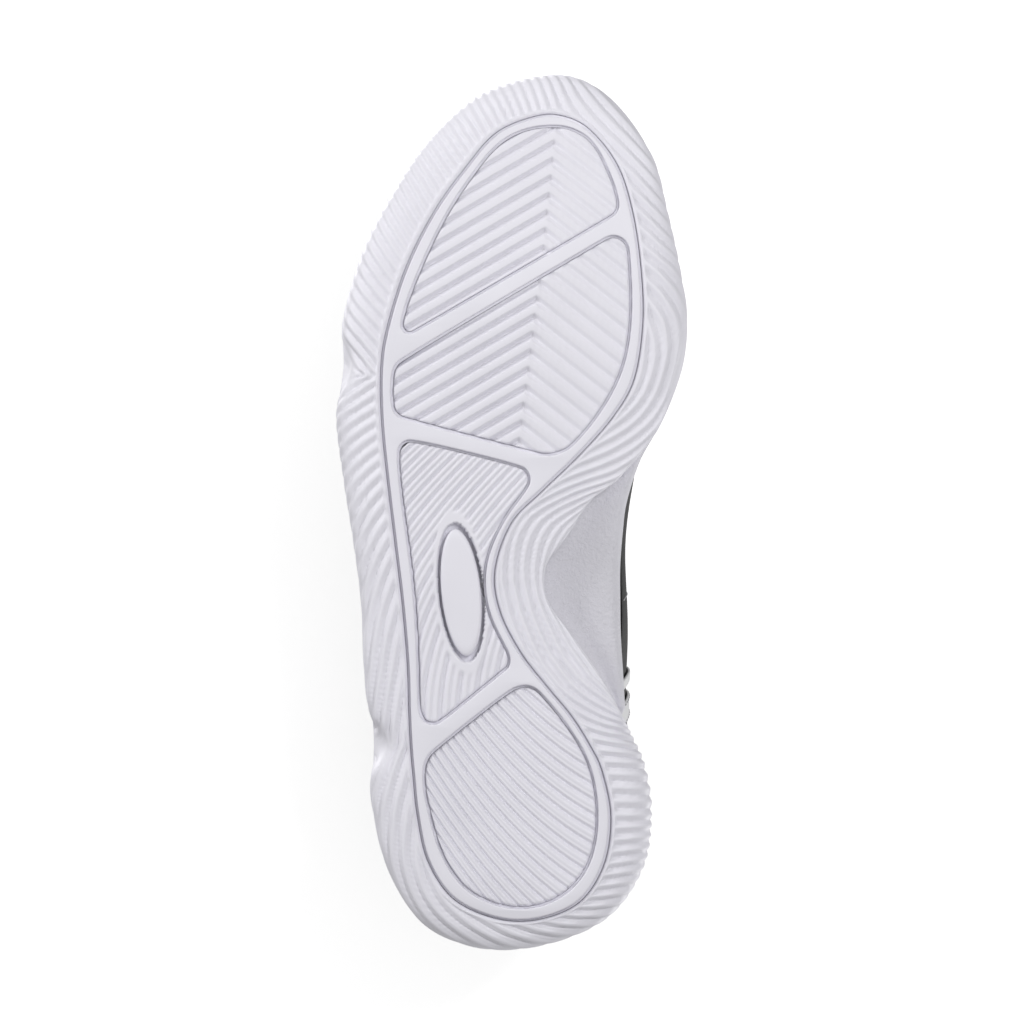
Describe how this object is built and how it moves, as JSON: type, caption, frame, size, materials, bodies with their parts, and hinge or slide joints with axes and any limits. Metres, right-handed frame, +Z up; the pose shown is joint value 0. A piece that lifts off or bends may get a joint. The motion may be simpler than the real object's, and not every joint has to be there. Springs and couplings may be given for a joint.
{
  "type": "cheer shoe",
  "caption": "Low-cut right cheer shoe: pale ribbed cup sole with windowed tread and bare arch, black padded upper, tilting tongue and folding heel pull tab.",
  "frame": {"origin": "on the ground, under the middle of the shoe's box", "axes": "+Z up, heel towards +Y, toe towards -Y, inner side of the foot towards +X"},
  "size_m": [0.1158, 0.29, 0.1196],
  "materials": {
    "sole_rubber": "satin",
    "midsole_foam": "matte",
    "fibre_board": "matte",
    "footbed_fabric": "matte",
    "lining_fabric": "matte",
    "collar_fabric": "matte",
    "tongue_mesh": "matte",
    "black_webbing": "matte",
    "black_leather": "satin",
    "white_trim": "satin",
    "eyelet_enamel": "gloss"
  },
  "bodies": {
    "shoe": {"sole_frame": "sole_rubber", "tread_pad_toe": "sole_rubber", "tread_pad_ball": "sole_rubber", "tread_pad_midfoot": "sole_rubber", "tread_pad_heel": "sole_rubber", "midfoot_badge": "sole_rubber", "outsole_shell": "sole_rubber", "midsole": "midsole_foam", "strobel_board": "fibre_board", "insole": "footbed_fabric", "lining": "lining_fabric", "toe_puff": "fibre_board", "heel_stiffener": "fibre_board", "vamp": "black_leather", "quarter_lateral": "black_leather", "quarter_medial": "black_leather", "eyestay_lateral": "black_leather", "eyestay_medial": "black_leather", "toe_guard": "black_leather", "heel_counter": "black_leather", "stripe_lateral_front": "white_trim", "stripe_lateral_rear": "white_trim", "stripe_medial_front": "white_trim", "stripe_medial_rear": "white_trim", "collar_padding": "collar_fabric", "eyelet_lateral_1": "eyelet_enamel", "eyelet_lateral_2": "eyelet_enamel", "eyelet_lateral_3": "eyelet_enamel", "eyelet_lateral_4": "eyelet_enamel", "eyelet_lateral_5": "eyelet_enamel", "eyelet_lateral_6": "eyelet_enamel", "eyelet_medial_1": "eyelet_enamel", "eyelet_medial_2": "eyelet_enamel", "eyelet_medial_3": "eyelet_enamel", "eyelet_medial_4": "eyelet_enamel", "eyelet_medial_5": "eyelet_enamel", "eyelet_medial_6": "eyelet_enamel"},
    "tongue": {"tongue": "tongue_mesh", "tongue_padding": "lining_fabric", "tongue_loop": "black_webbing"},
    "pull_tab": {"pull_tab": "black_webbing"}
  },
  "joints": [
    {"name": "tongue_tilt", "type": "hinge", "parent": "shoe", "child": "tongue", "pos_m": [0, -0.031, 0.0622], "axis": [-1, 0, 0], "range_deg": [0, 12]},
    {"name": "pull_tab_fold", "type": "hinge", "parent": "shoe", "child": "pull_tab", "pos_m": [0, 0.14041, 0.08421], "axis": [-1, 0, 0], "range_deg": [0, 75], "stiffness_Nm_per_rad": 0.003}
  ]
}
